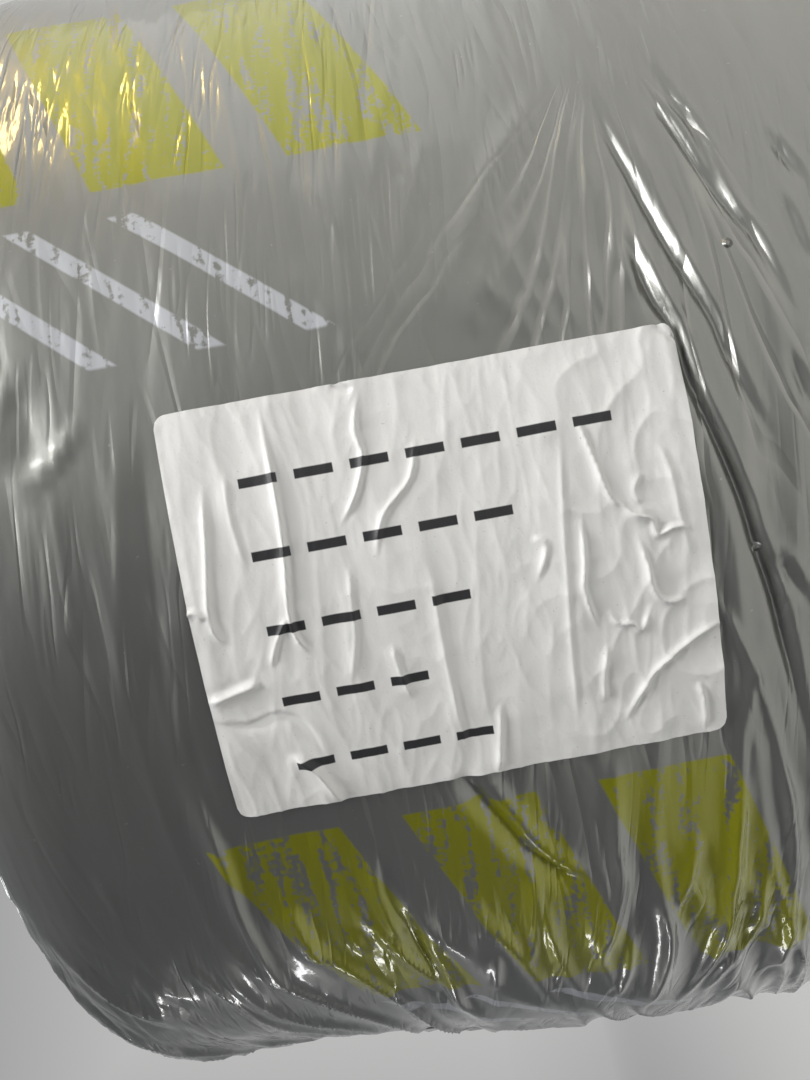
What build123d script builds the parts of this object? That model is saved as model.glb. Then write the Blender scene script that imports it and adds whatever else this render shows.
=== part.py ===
from build123d import *
from math import cos, pi, radians, sin
import os

# A roll of rock wool blanket in a polyethylene sleeve, standing on its end.
# Millimetres. The roll's axis is Z, up. The origin is on the floor, under the bore.
# The label is near the upper end and faces -Y.

# The blanket, rolled up tight
blanket_width = 600.0
blanket_length = 5000.0
rolled_diameter = 478.0
bore_diameter = 46.0
groove_depth = 5.0
rim_radius = 30.0
# The rims are turned in straight steps: few where the film hides them
wool_rim_steps = 1
film_rim_steps = 3

# The sleeve: shrunk round the roll and drawn in over both ends
film_thickness = 0.8
seat_gap = 0.3
shelf_diameter = 352.0
opening_diameter = 240.0
draw_in = 10.0
hem_width = 4.0
hem_height = 2.5

# The pleats that take up the spare film between the shelf and the opening
pleat_count = 30
pleat_sunk = 3.5
pleat_width = 15.0
pleat_start_height = 1.0

# The paper label, stuck on the side near the upper end
label_width = 122.0
label_height = 100.0
label_corner = 3.0
label_thickness = 0.4
label_from_end = 75.0

rolled_radius = rolled_diameter / 2
bore_radius = bore_diameter / 2
shelf_radius = shelf_diameter / 2
opening_radius = opening_diameter / 2
gather_radius = opening_radius + hem_width
half_width = blanket_width / 2
film_outside = seat_gap + film_thickness
film_radius = rolled_radius + film_outside
# The sleeve's lower shelf stands on the floor.
middle_height = half_width + film_outside

# Rolled tight, the blanket is as thick as the roll's end area shared over its length.
end_area = pi * (rolled_radius**2 - bore_radius**2)
turn_count = round((rolled_radius - bore_radius) / (end_area / blanket_length))
turn_width = (rolled_radius - bore_radius) / turn_count
rim_round = min(rim_radius, 0.9 * (rolled_radius - shelf_radius))

# A half section through the axis: x out from the axis, y up from the middle of the roll
section_plane = Plane(origin=(0, 0, middle_height), x_dir=(1, 0, 0), z_dir=(0, -1, 0))
middle_plane = Plane.XY.offset(middle_height)


def end_height(radius):
    """Where the blanket ends, from its middle: flat on the shelf, drawn in by the film inside it."""
    share = (shelf_radius - radius) / (shelf_radius - gather_radius)
    return half_width - draw_in * min(1, max(0, share))


def roll_section(grow, rim_steps):
    """The roll's half section from the bore out, grown by the gap and film over it."""
    gather = (gather_radius, end_height(gather_radius) + grow)
    shelf = (shelf_radius, half_width + grow)
    points = [(bore_radius, gather[1]), gather, shelf]
    for step in range(rim_steps, -1, -1):
        turned = radians(90 * step / rim_steps)
        out = rolled_radius - rim_round + (rim_round + grow) * cos(turned)
        up = half_width - rim_round + (rim_round + grow) * sin(turned)
        points.append((out, up))
    points += [(out, -up) for out, up in reversed(points)]
    with BuildLine() as outline:
        Polyline(*points, close=True)
    make_face(outline.edges())


# The blanket: one turned solid with its bore. Its turns are crowned where they show in
# the sleeve's openings, and pressed flat under the film.
with BuildPart() as wool_blanket:
    with BuildSketch(section_plane):
        roll_section(0, wool_rim_steps)
        for turn in range(turn_count):
            radius = bore_radius + turn * turn_width
            inner_crest = radius - turn_width / 2
            outer_crest = radius + turn_width / 2
            if radius > gather_radius:
                break
            for end in (-1, 1):
                with BuildLine():
                    Polyline(
                        (inner_crest, end * end_height(inner_crest)),
                        (radius, end * (end_height(radius) - groove_depth)),
                        (outer_crest, end * end_height(outer_crest)),
                        (outer_crest, end * middle_height),
                        (inner_crest, end * middle_height),
                        close=True,
                    )
                make_face(mode=Mode.SUBTRACT)
    revolve(axis=Axis.Z)

# One knife pleat on the upper end's sloping film: a wedge that widens and rises towards
# the hem, where its far side is folded up. It starts where the film has sunk by as much
# as the pleat is high, so it stays below the shelf, and it ends just inside the hem.
pleat_height = draw_in - pleat_sunk
film_slope = draw_in / (shelf_radius - gather_radius)
pleat_start = shelf_radius - pleat_start_height / film_slope
pleat_end = gather_radius - film_thickness


def on_film(radius, side, height):
    """A point over the middle of the film's thickness, a distance to one side of the pleat."""
    film_middle = half_width - film_slope * (shelf_radius - radius) + seat_gap + film_thickness / 2
    return Vector(radius, side, film_middle + height)


start = on_film(pleat_start, 0, 0)
near_side = on_film(pleat_end, -pleat_width / 2, 0)
far_side = on_film(pleat_end, pleat_width / 2, 0)
fold = on_film(pleat_end, pleat_width / 2, pleat_height)
with BuildPart() as pleat:
    with BuildSketch(Plane.XY.offset(near_side.Z)):
        Polygon(*[(point.X, point.Y) for point in (start, near_side, far_side)])
    extrude(amount=start.Z - near_side.Z + pleat_height)
    on_slope = Plane(origin=start, z_dir=(far_side - start).cross(near_side - start))
    split(bisect_by=on_slope, keep=Keep.TOP)
    up_to_fold = Plane(origin=start, z_dir=(fold - start).cross(near_side - start))
    split(bisect_by=up_to_fold, keep=Keep.BOTTOM)

# The sleeve: a thin skin over the side and both rims, gathered round a central opening
with BuildPart() as film_sleeve:
    with BuildSketch(section_plane):
        roll_section(film_outside, film_rim_steps)
        with BuildSketch(mode=Mode.SUBTRACT):
            roll_section(seat_gap, film_rim_steps)
        Rectangle(2 * gather_radius, 2 * blanket_width, mode=Mode.SUBTRACT)
        hem_middle = end_height(gather_radius) + seat_gap + hem_height / 2
        with Locations((opening_radius, hem_middle), (opening_radius, -hem_middle)):
            Rectangle(hem_width, hem_height, align=(Align.MIN, Align.CENTER))
    revolve(axis=Axis.Z)
    lower_pleat = mirror(pleat.part, about=Plane.XY, mode=Mode.PRIVATE)
    with Locations(middle_plane):
        with PolarLocations(0, pleat_count):
            add(pleat.part)
            add(lower_pleat)

# The label: a rounded rectangle cut from a thin ring round the sleeve
label_radius = film_radius + seat_gap
label_middle = middle_height + half_width - label_from_end - label_width / 2
label_plane = Plane(origin=(0, 0, label_middle), x_dir=(0, 0, -1), z_dir=(0, -1, 0))
label_chord = 2 * label_radius * sin(label_height / 2 / label_radius)
with BuildPart() as label:
    with BuildSketch(Plane.XY.offset(label_middle)):
        Circle(label_radius + label_thickness)
        Circle(label_radius, mode=Mode.SUBTRACT)
    extrude(amount=label_width, both=True)
    with BuildSketch(label_plane):
        RectangleRounded(label_width, label_chord, label_corner)
    extrude(amount=2 * label_radius, mode=Mode.INTERSECT)

wool_blanket.part.label = "wool_blanket"
film_sleeve.part.label = "film_sleeve"
label.part.label = "label"

os.makedirs("parts", exist_ok=True)
export_step(wool_blanket.part, "parts/wool_blanket.step")
export_step(film_sleeve.part, "parts/film_sleeve.step")
export_step(label.part, "parts/label.step")
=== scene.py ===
# %% [markdown]
# A roll of rock wool blanket, made in three pieces: the rolled wool, the printed
# polyethylene sleeve shrunk round it, and the paper label on its side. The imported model
# gives every size and place. It is loaded first and stays fixed, and each piece below is
# built round it and then stands in for the plain solid that it replaces.

# %% Load the fixed frame
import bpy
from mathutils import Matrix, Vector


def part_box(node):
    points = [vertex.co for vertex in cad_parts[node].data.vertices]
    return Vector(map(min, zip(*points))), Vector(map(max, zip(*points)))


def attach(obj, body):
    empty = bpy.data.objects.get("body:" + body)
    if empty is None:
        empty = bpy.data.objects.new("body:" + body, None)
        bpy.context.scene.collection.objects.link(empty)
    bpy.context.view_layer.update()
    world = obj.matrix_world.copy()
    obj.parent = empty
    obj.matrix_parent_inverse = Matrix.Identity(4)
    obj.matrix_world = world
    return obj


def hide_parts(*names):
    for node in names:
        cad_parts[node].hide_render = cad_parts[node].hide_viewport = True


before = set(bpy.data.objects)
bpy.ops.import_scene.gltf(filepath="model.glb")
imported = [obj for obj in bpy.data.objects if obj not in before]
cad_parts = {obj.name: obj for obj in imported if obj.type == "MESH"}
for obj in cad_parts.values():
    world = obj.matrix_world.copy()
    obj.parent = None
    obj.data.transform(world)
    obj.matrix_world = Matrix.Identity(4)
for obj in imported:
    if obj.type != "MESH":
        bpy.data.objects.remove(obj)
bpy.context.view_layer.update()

# %% The tools that the rest needs
import math
import bpy
import numpy as np
from mathutils import Matrix, Vector

# %% Sizes that come from the frame
mm = 0.001
film_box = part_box("film_sleeve")
label_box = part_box("label")
film_radius = film_box[1].x / mm
top = film_box[1].z / mm
girth = 2 * math.pi * film_radius
label_height = (label_box[0].z + label_box[1].z) / 2
print(f"The roll is {2 * film_radius:.1f} mm across and {top:.1f} mm long")

# %% [markdown]
# The photograph is a close look at the roll's side, taken with a wide lens from about
# 19 cm away. The roll lies on its side there. Here it stands on its end, with the label
# up, so the camera is turned to see it the same way: the picture's right is the way down
# to the floor, and the picture's top is the roll's +X side. The camera comes first,
# because each fold below is placed by looking through it.

# %% The camera, matched to the photograph: its focal length in pixels, its place in metres
image_width = 810
image_height = 1080
focal_length = 811
camera_from_axis = 0.4277
camera_over_label = 0.0087
camera_round = math.radians(4.5)
camera_dip = math.radians(2.25)
camera_tilt = math.radians(10.5)

down = Vector((0, 0, -1))
to_axis = Vector((-math.sin(camera_round), math.cos(camera_round), 0))
sideways = Vector((-math.cos(camera_round), -math.sin(camera_round), 0))
look = math.cos(camera_dip) * to_axis + math.sin(camera_dip) * sideways
across = math.cos(camera_dip) * sideways - math.sin(camera_dip) * to_axis
right = math.cos(camera_tilt) * down + math.sin(camera_tilt) * across
upward = math.sin(camera_tilt) * down - math.cos(camera_tilt) * across
eye = -camera_from_axis * to_axis + Vector((0, 0, label_height + camera_over_label))

camera_data = bpy.data.cameras.new("camera")
camera_data.sensor_width = 36
camera_data.lens = camera_data.sensor_width * focal_length / image_height
camera_data.clip_start = 0.01
camera = bpy.data.objects.new("camera", camera_data)
bpy.context.scene.collection.objects.link(camera)
camera_turn = Matrix((right, upward, -look)).transposed().to_4x4()
camera.matrix_world = Matrix.Translation(eye) @ camera_turn
bpy.context.scene.camera = camera
off_film = eye.xy.length / mm - film_radius
print(f"The camera has a {camera_data.lens:.1f} mm lens and is {off_film:.0f} mm off the film")


# %% Find a pixel of the photograph on the roll
def on_roll(pixels):
    """Places of photo pixels on the film, in mm: down from the upper end, and round from the label."""
    places = []
    for x, y in pixels:
        ray = look * focal_length + right * (x - image_width / 2) - upward * (y - image_height / 2)
        # The ray meets the film where a, b and c make a quadratic zero; the nearer root is seen.
        a = ray.xy.length_squared
        b = ray.xy.dot(eye.xy)
        c = eye.xy.length_squared - (film_radius * mm) ** 2
        place = eye + ray * ((-b - math.sqrt(max(0, b * b - a * c))) / a)
        places.append((top - place.z / mm, film_radius * math.atan2(place.x, -place.y)))
    return np.array(places)


print("The middle of the picture is at", on_roll([(image_width / 2, image_height / 2)]).round(1))

# %% [markdown]
# A plain pale floor and soft studio light. The film is a soft mirror, so what stands round
# it matters as much as the lamps. In the photograph it mirrors brightness from the picture's
# top and right, which are the +X side and the floor here, and dimness from its left and
# bottom. So the floor and the horizon are pale, and the room is dim overhead and in front on
# the left. A picture of a room could light it too, but two colours and a direction are
# enough, and each can be changed by itself.


# %% One helper for colours and one for nodes
def linear(hex_colour):
    """An sRGB hex colour as the linear values that Blender's sockets take."""
    channels = [int(hex_colour[i:i + 2], 16) / 255 for i in (1, 3, 5)]
    return (*[c / 12.92 if c <= 0.04045 else ((c + 0.055) / 1.055) ** 2.4 for c in channels], 1)


def add(tree, kind, inputs=(), **settings):
    """Adds a node with its settings. inputs are values, sockets or nodes, in order or by name."""
    node = tree.nodes.new("ShaderNode" + kind)
    for name, value in settings.items():
        setattr(node, name, value)
    for key, value in inputs.items() if isinstance(inputs, dict) else enumerate(inputs):
        if isinstance(value, bpy.types.Node):
            value = value.outputs[0]
        if isinstance(value, bpy.types.NodeSocket):
            tree.links.new(value, node.inputs[key])
        else:
            node.inputs[key].default_value = value
    return node


def new_material(name):
    """An empty node material, and the tree that its nodes go in."""
    material = bpy.data.materials.new(name)
    material.use_nodes = True
    material.node_tree.nodes.clear()
    return material, material.node_tree


print("The sRGB grey #808080 is", round(linear("#808080")[0], 3), "in linear light")

# %% The room's own light: pale at the horizon, dim overhead and in front on the left
room_pale = "#dfdfdd"
room_dim = "#5a5c60"
dim_side = Vector((-0.80, -0.58, 0.15))
dims_upward = (0.12, 0.75)
dims_sideways = (-0.3, 0.6)


def room_colour(tree, direction):
    """The room's colour in a direction, for the world and for the floor far away."""
    height = add(tree, "SeparateXYZ", [direction]).outputs["Z"]
    overhead = add(tree, "MapRange", [height, *dims_upward])
    to_side = add(tree, "VectorMath", [direction, dim_side], operation="DOT_PRODUCT")
    beside = add(tree, "MapRange", [to_side.outputs["Value"], *dims_sideways])
    shade = add(tree, "Math", [overhead, beside], operation="MAXIMUM")
    return add(tree, "MixRGB", [shade, linear(room_pale), linear(room_dim)])


world = bpy.data.worlds.new("studio")
bpy.context.scene.world = world
world.use_nodes = True
tree = world.node_tree
tree.nodes.clear()
all_round = room_colour(tree, add(tree, "TexCoord").outputs["Generated"])
glow = add(tree, "Background", {"Color": all_round, "Strength": 1.0})
add(tree, "OutputWorld", [glow])
bpy.context.scene.view_settings.view_transform = "Standard"
print("The room runs from", room_pale, "to", room_dim)

# %% The floor, matt paint that fades to the room's colour far away, so no horizon line shows
floor_half_width = 40
floor_fades = (1.2, 4.0)
floor_corners = np.array([(-1, -1, 0), (1, -1, 0), (1, 1, 0), (-1, 1, 0)]) * floor_half_width
floor_mesh = bpy.data.meshes.new("floor")
floor_mesh.from_pydata(floor_corners.tolist(), [], [(0, 1, 2, 3)])
floor = bpy.data.objects.new("floor", floor_mesh)
bpy.context.scene.collection.objects.link(floor)
floor_paint, tree = new_material("matt_floor_paint")
paint = add(tree, "BsdfPrincipled", {"Base Color": linear("#dededc"), "Roughness": 0.8})
place = add(tree, "TexCoord").outputs["Object"]
from_roll = add(tree, "VectorMath", [place], operation="LENGTH").outputs["Value"]
outward = add(tree, "VectorMath", [place], operation="NORMALIZE")
pale = add(tree, "Emission", {"Color": room_colour(tree, outward), "Strength": 1.0})
# Seen straight or mirrored, the far floor glows as the room does. It lights nothing.
ray = add(tree, "LightPath").outputs
mirrored = add(tree, "Math", [ray["Is Glossy Ray"], ray["Is Transmission Ray"]], operation="ADD")
seen = add(tree, "Math", [ray["Is Camera Ray"], mirrored], operation="ADD")
seen = add(tree, "Math", [seen, 1.0], operation="MINIMUM")
far = add(tree, "MapRange", [from_roll, *floor_fades])
far_and_seen = add(tree, "Math", [far, seen], operation="MULTIPLY")
add(tree, "OutputMaterial", [add(tree, "MixShader", [far_and_seen, paint, pale])])
floor_mesh.materials.append(floor_paint)
print(f"The floor is {2 * floor_half_width} m wide and fades {floor_fades[0]} to {floor_fades[1]} m out")

# %% [markdown]
# Each lamp has one job, which its comment gives. On a soft mirror a lamp shows as a streak
# of its own shape: a wide low one gives a wide band of glints, and a narrow one gives thin
# lines. They are hidden from the camera, so that they don't show behind the roll when it is
# seen from another side.


# %% The lamps
def area_light(name, place, aim, size, power, colour="#ffffff"):
    """A soft lamp, size wide and high, in metres, turned to a point that it lights."""
    data = bpy.data.lights.new(name, "AREA")
    data.shape = "RECTANGLE"
    data.size, data.size_y = size
    data.energy = power
    data.color = linear(colour)[:3]
    lamp = bpy.data.objects.new(name, data)
    lamp.location = place
    lamp.rotation_euler = (Vector(aim) - Vector(place)).to_track_quat("-Z", "Y").to_euler()
    lamp.visible_camera = False
    bpy.context.scene.collection.objects.link(lamp)
    print(f"Lamp {name}: {power} W from {place}")


roll_middle = (0, 0, top * mm / 2)
label_middle = (0, -film_radius * mm, label_height)
glint_middle = (0.15, -0.19, 0.5)
# A faint wide wash on the side that is the picture's top
area_light("softbox", (2.1, -0.1, 0.5), roll_middle, (1.6, 1.2), 3)
# Most of the light: it comes along the side from above, so that every fold has a shadow
area_light("key", (0.85, -0.95, 2.65), label_middle, (1.3, 1.3), 70)
# A smaller lamp that brightens the film over the label
area_light("sheen", (1.5, -1.1, 1.9), label_middle, (0.6, 0.6), 8)
# The row of golden glints at the picture's upper left, as from a low warm lamp
area_light("glint", (2.0, 0.05, 1.25), glint_middle, (0.7, 0.07), 3.5, "#ffdf90")
# Thin lines on the gathers at the picture's bottom
area_light("side glints", (-1.5, -0.05, 0.8), label_middle, (0.07, 0.25), 0.5)
# Keeps the back from going dark
area_light("back", (-0.6, 2.4, 1.9), roll_middle, (1.6, 1.6), 15)

# %% [markdown]
# The sleeve is a thin sheet that follows the roll's section: out of the opening, over the
# sloping end, round the rim, down the side, and the same again below. It could be a turned
# shape with a displacement map, but the folds in the photograph are real shapes with their
# own highlights and outline, so the sheet is built point by point and lifted in code. Its
# lattice is fine where the photograph looks closely and coarse elsewhere, which keeps it
# under 200,000 triangles. "Along" is the way down the sheet, level with the depth under the
# roll's upper end on the side, and "around" is the way round it. Both are in mm.

# %% The sleeve's section
rim_radius = 31.1
rim_steps = 12
shelf_radius = 176
hem_radius = 123.5
draw_in = 9.4
hem_curl = 1.8
hem_steps = 4
hem_tuck = 5.0


def half_section():
    """Points (radius, depth under the end) from the tucked edge to the side, on the upper half."""
    points = [(hem_radius - 2 * hem_curl, draw_in + hem_tuck)]
    for step in range(hem_steps + 1):
        turned = math.pi * step / hem_steps
        out = hem_radius - hem_curl - hem_curl * math.cos(turned)
        points.append((out, draw_in - hem_curl * math.sin(turned)))
    points.append((shelf_radius, 0))
    for step in range(rim_steps + 1):
        turned = math.pi / 2 * step / rim_steps
        out = film_radius - rim_radius + rim_radius * math.sin(turned)
        points.append((out, rim_radius - rim_radius * math.cos(turned)))
    return points


upper = half_section()
section = np.array(upper + [(radius, top - depth) for radius, depth in reversed(upper)])
steps = np.hypot(*np.diff(section, axis=0).T)
section_along = np.concatenate([[0], np.cumsum(steps)])
section_along += rim_radius - section_along[len(upper) - 1]
shelf_along = rim_radius - math.pi / 2 * rim_radius
print(f"The sheet runs from {section_along[0]:.0f} to {section_along[-1]:.0f} mm along")


def section_at(along):
    """The smooth sleeve's radius, depth under the upper end and outward direction, along it."""
    nudge = 1.5
    radius, depth = [np.interp(along, section_along, side) for side in section.T]
    after = [np.interp(along + nudge, section_along, side) for side in section.T]
    before = [np.interp(along - nudge, section_along, side) for side in section.T]
    run_out, run_down = np.subtract(after, before)
    size = np.hypot(run_out, run_down)
    return radius, depth, run_down / size, -run_out / size


# %% [markdown]
# The lattice has big cells with small ones inside them where the photograph looks. Its rows
# lean there, because the folds at the picture's right run at a slant, and a crest that lies
# along a row stays sharp where one that crosses rows is cut into teeth.


# %% A lattice that is fine where the photograph looks, with rows that follow the folds there
def ease(share):
    """Goes from 0 to 1 without a corner at either end."""
    share = np.clip(share, 0, 1)
    return share * share * (3 - 2 * share)


row_slope = -0.24
sloped_around = (-90, 150)
sloped_middle = 30
sloped_after = 60
sloped_over = 130
sloped_until = 420
level_from, level_at = 300, 420
coarse_along = 6.4
coarse_columns = 270
finer_along = 8
finer_around = 2
close_up_along = (shelf_along - 4, 275)
close_up_around = (-222, 234)

coarse_rows = round((section_along[-1] - section_along[0]) / coarse_along)
rows = coarse_rows * finer_along
columns = coarse_columns * finer_around
row_along = np.linspace(section_along[0], section_along[-1], rows + 1)
column_around = np.linspace(-girth / 2, girth / 2, columns + 1)[:-1]


def whole_cells(span, values, finer):
    """The first and last lattice line of the coarse cells that a span covers."""
    first, last = np.searchsorted(values, span)
    return first // finer * finer, -(-last // finer) * finer


row_first, row_last = whole_cells(close_up_along, row_along, finer_along)
column_first, column_last = whole_cells(close_up_around, column_around, finer_around)
kept = np.zeros((rows + 1, columns), bool)
kept[::finer_along, ::finer_around] = True
kept[row_first:row_last + 1, column_first:column_last + 1] = True
number = np.where(kept, np.cumsum(kept).reshape(kept.shape) - 1, -1)
film_rows, film_columns = np.nonzero(kept)
film_along = row_along[film_rows]
film_around = column_around[film_columns]

# The slant fades out towards the rim, far down the side and round the back.
sloped = ease((film_along - sloped_after) / sloped_over) * ease((sloped_until - film_along) / sloped_over)
beside_folds = ease((level_at - np.abs(film_around)) / (level_at - level_from))
off_middle = np.clip(film_around, *sloped_around) - sloped_middle
film_along = film_along + row_slope * off_middle * sloped * beside_folds
fine_cells = int((row_last - row_first) * (column_last - column_first))
print(f"The sheet has {len(film_along)} points, {fine_cells} of its cells fine")


def quads(i, j, corner):
    """Four-sided faces for the cells at rows i and columns j, from corner(row, column)."""
    ring = [corner(i, j), corner(i + 1, j), corner(i + 1, j + 1), corner(i, j + 1)]
    return np.stack(ring, -1).reshape(-1, 4)


def lattice_faces():
    """Quads in the close-up, and coarse cells elsewhere that take in every point on their edges."""
    fine = np.mgrid[row_first:row_last, column_first:column_last]
    faces = quads(*fine, lambda row, column: number[row, column]).tolist()
    for row in range(0, rows, finer_along):
        for column in range(0, columns, finer_around):
            if row_first <= row < row_last and column_first <= column < column_last:
                continue
            last_row = row + finer_along
            last_column = column + finer_around
            near = [(row + step, column) for step in range(finer_along)]
            below = [(last_row, column + step) for step in range(finer_around)]
            beyond = [(last_row - step, last_column) for step in range(finer_along)]
            above = [(row, last_column - step) for step in range(finer_around)]
            ring = [number[a, b % columns] for a, b in near + below + beyond + above]
            faces.append([int(point) for point in ring if point >= 0])
    return faces


# %% [markdown]
# Shrunk film is never smooth. Under it the wool is uneven, and the film itself has fine
# ridges that run round the roll, where it was slack along the roll and shrank around it.
# Two kinds of noise make them: a soft one for the swells, and a ridged one, stretched round
# the roll, for creases with sharp crests. Both come from a table of random slopes, so the
# result is the same each run, and both close up round the roll.

# %% Noise that closes round the roll
noise_length = 1200
noise_margin = 200
noise_gain = 1.6


def soft_noise(along, around, pitch_along, pitch_around, seed):
    """Smooth random values from about -1 to 1, with a new value each pitch."""
    table_rows = 4 + math.ceil(noise_length / pitch_along)
    table_columns = max(3, round(girth / pitch_around))
    angles = np.random.default_rng(seed).uniform(0, 2 * math.pi, (table_rows, table_columns))
    u = (along + noise_margin) / pitch_along
    v = (around / girth % 1) * table_columns
    row = np.floor(u).astype(int)
    column = np.floor(v).astype(int)
    total = np.zeros_like(u)
    for below in (0, 1):
        for beside in (0, 1):
            angle = angles[(row + below) % table_rows, (column + beside) % table_columns]
            out_u = u - row - below
            out_v = v - column - beside
            weight = ease(1 - abs(out_u)) * ease(1 - abs(out_v))
            total += weight * (np.cos(angle) * out_u + np.sin(angle) * out_v)
    return noise_gain * total


def ridges(along, around, pitch_along, pitch_around, seed):
    """Creases with sharp crests, from 0 to 1, longest the way that its pitch is longest."""
    crest_narrowing = 1.8
    noise = soft_noise(along, around, pitch_along, pitch_around, seed)
    return (1 - np.minimum(1, crest_narrowing * abs(noise))) ** 2


print(f"The noise closes round the roll after {girth:.0f} mm")

# %% [markdown]
# The folds that can be told one by one in the photograph are drawn, each as a line through a
# few of its pixels. The camera puts the line on the roll, a smooth curve joins the points, and
# the sheet rises or sinks near it. A deep fold has a groove and a lip beside it, where the
# film lies over itself.


# %% Lift a sheet along a drawn line
def smooth_line(points):
    """A finer line through the points, rounded at each of them."""
    padded = np.vstack([2 * points[0] - points[1], points, 2 * points[-1] - points[-2]])
    line = []
    for a, b, c, d in zip(padded, padded[1:], padded[2:], padded[3:]):
        bend = 2 * a - 5 * b + 4 * c - d
        turn = 3 * b - a - 3 * c + d
        for t in np.linspace(0, 1, 5)[:-1]:
            line.append(0.5 * (2 * b + (c - a) * t + bend * t**2 + turn * t**3))
    return np.array(line + [points[-1]])


def fold(sheet, pixels, width, rise, lip=0.0, sharp=1.5):
    """Lifts the sheet by rise mm along a line of pixels, about width mm wide, with a lip on its left."""
    line = smooth_line(on_roll(pixels))
    reach = 5 * width
    near = np.ones(len(sheet["along"]), bool)
    for name, side in (("along", 0), ("around", 1)):
        near &= sheet[name] > line[:, side].min() - reach
        near &= sheet[name] < line[:, side].max() + reach
    if not near.any():
        return
    # Each point's nearest place on the line, its distance from it, and on which side it is
    spot = np.stack([sheet["along"][near], sheet["around"][near]], 1)[:, None]
    start = line[:-1][None]
    run = np.diff(line, axis=0)[None]
    share = np.clip(((spot - start) * run).sum(2) / (run**2).sum(2), 0, 1)
    off = spot - start - share[..., None] * run
    distance = np.hypot(off[..., 0], off[..., 1])
    nearest = distance.argmin(1)
    every = np.arange(len(nearest))
    turn = run[0, nearest, 0] * off[every, nearest, 1] - run[0, nearest, 1] * off[every, nearest, 0]
    aside = distance[every, nearest] * np.sign(turn)
    # The fold fades in and out over the first and last quarter of its line.
    travelled = (nearest + share[every, nearest]) / run.shape[1]
    fade = ease(4 * travelled) * ease(4 * (1 - travelled))
    crest = rise * np.exp(-np.abs(aside / width) ** sharp)
    edge = lip * np.exp(-((aside / width - 1.5) ** 2))
    sheet["lift"][near] += fade * (crest + edge)


right_angle = np.array([(0, 0), (10, 0), (10, 10)])
print("A line through 3 points is smoothed to", len(smooth_line(right_angle)), "points")

# %% The folds beside the label, as lines of photo pixels
fold_beside_label = [(617, 225), (632, 253), (653, 297), (674, 326), (689, 372), (701, 401), (722, 444),
                     (744, 496), (759, 545), (774, 585), (789, 646), (802, 707), (812, 770)]
fold_above_label = [(583, 70), (596, 111), (612, 145), (632, 181), (653, 220), (674, 256), (694, 287),
                    (715, 320), (731, 361), (759, 413), (778, 446)]
ridge_between = [(622, 215), (644, 255), (663, 290), (679, 333), (700, 380)]
ridge_over = [(627, 124), (645, 165), (663, 207), (684, 251), (710, 297), (735, 345)]
fold_to_corner = [(638, 90), (658, 111), (676, 134), (697, 165), (720, 196), (751, 233),
                  (767, 261), (800, 330)]
fold_high = [(645, 59), (671, 101), (692, 127), (715, 178), (740, 215)]
fold_far = [(762, 137), (780, 152), (800, 181)]
fold_far_low = [(777, 189), (798, 238), (806, 262)]
fold_edge = [(789, 352), (812, 405)]
fold_branch = [(764, 560), (786, 569), (812, 602)]
crease_x_long = [(722, 600), (731, 624), (756, 673), (774, 728), (786, 777), (800, 830)]
crease_x_short = [(768, 640), (756, 676), (744, 728), (741, 777)]

# %% The fan of fine creases over the label
fan_long = [(583, 70), (565, 130), (540, 170), (505, 222), (488, 248), (462, 300), (445, 340)]
fan_left = [(548, 60), (520, 120), (490, 160), (470, 230), (430, 300), (412, 345)]
fan_low = [(505, 235), (515, 270), (535, 300), (560, 335)]
fan_middle = [(528, 215), (545, 262), (562, 300), (580, 326)]
fan_right = [(575, 235), (590, 270), (600, 300), (612, 326)]
fan_left_low = [(470, 270), (498, 300), (520, 315), (526, 345)]
crease_left = [(345, 90), (342, 230), (348, 330), (345, 372)]
crease_left_fan = [(300, 175), (325, 210), (345, 240)]
crease_far_left = [(288, 260), (320, 300), (345, 330)]
fan_thin_one = [(600, 150), (585, 190), (566, 240), (556, 290)]
fan_thin_two = [(540, 90), (505, 150), (472, 215), (450, 262)]
fan_thin_three = [(610, 175), (612, 220), (622, 262), (640, 300)]
fan_thin_four = [(430, 120), (410, 190), (395, 260), (388, 330)]
fan_thin_five = [(500, 260), (478, 300), (470, 335)]
fan_thin_six = [(395, 40), (380, 110), (372, 180), (370, 250)]

# %% The soft undulations left of the label
swell_inner = [(116, 400), (119, 500), (119, 581), (121, 670), (126, 760)]
swell_outer = [(50, 470), (60, 545), (70, 610), (78, 660)]
hollow_beside_label = [(140, 430), (148, 540), (158, 640), (172, 740)]
swell_low = [(164, 600), (172, 660), (180, 720), (190, 775)]
dent_left = [(0, 400), (22, 415), (26, 450), (10, 480)]
crease_dent = [(0, 490), (41, 475), (67, 444), (85, 421)]

# %% The gathers under the label
gather_main = [(178, 760), (222, 862), (238, 915), (262, 965), (290, 1005)]
gather_left = [(95, 880), (108, 905), (126, 935)]
gather_left_low = [(282, 905), (305, 942), (325, 978)]
gather_loop = [(372, 850), (376, 890), (388, 925), (408, 955)]
gather_short = [(345, 938), (370, 962)]
gather_dark = [(455, 770), (475, 795), (501, 825), (534, 861), (565, 880), (595, 887)]
gather_under_dark = [(400, 905), (420, 960), (444, 998), (455, 1030)]
gather_middle = [(617, 745), (617, 838), (622, 885), (612, 921), (591, 978)]
gather_right = [(745, 745), (738, 828), (728, 895), (710, 952), (669, 1001)]
gather_far = [(774, 750), (787, 792), (793, 843), (790, 895), (780, 941), (751, 972)]
gather_low = [(653, 890), (666, 921), (663, 960), (635, 1006)]
gather_triangle = [(632, 925), (627, 967), (612, 992)]
gather_bright = [(497, 955), (495, 992)]
gather_thin = [(532, 872), (534, 941), (529, 967)]
gather_cross = [(768, 840), (749, 931), (720, 962), (700, 990)]
gather_end = [(806, 900), (800, 940), (780, 985)]
gather_slanted = [(702, 828), (689, 874), (674, 910)]
gather_small = [(477, 900), (483, 940)]

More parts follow.
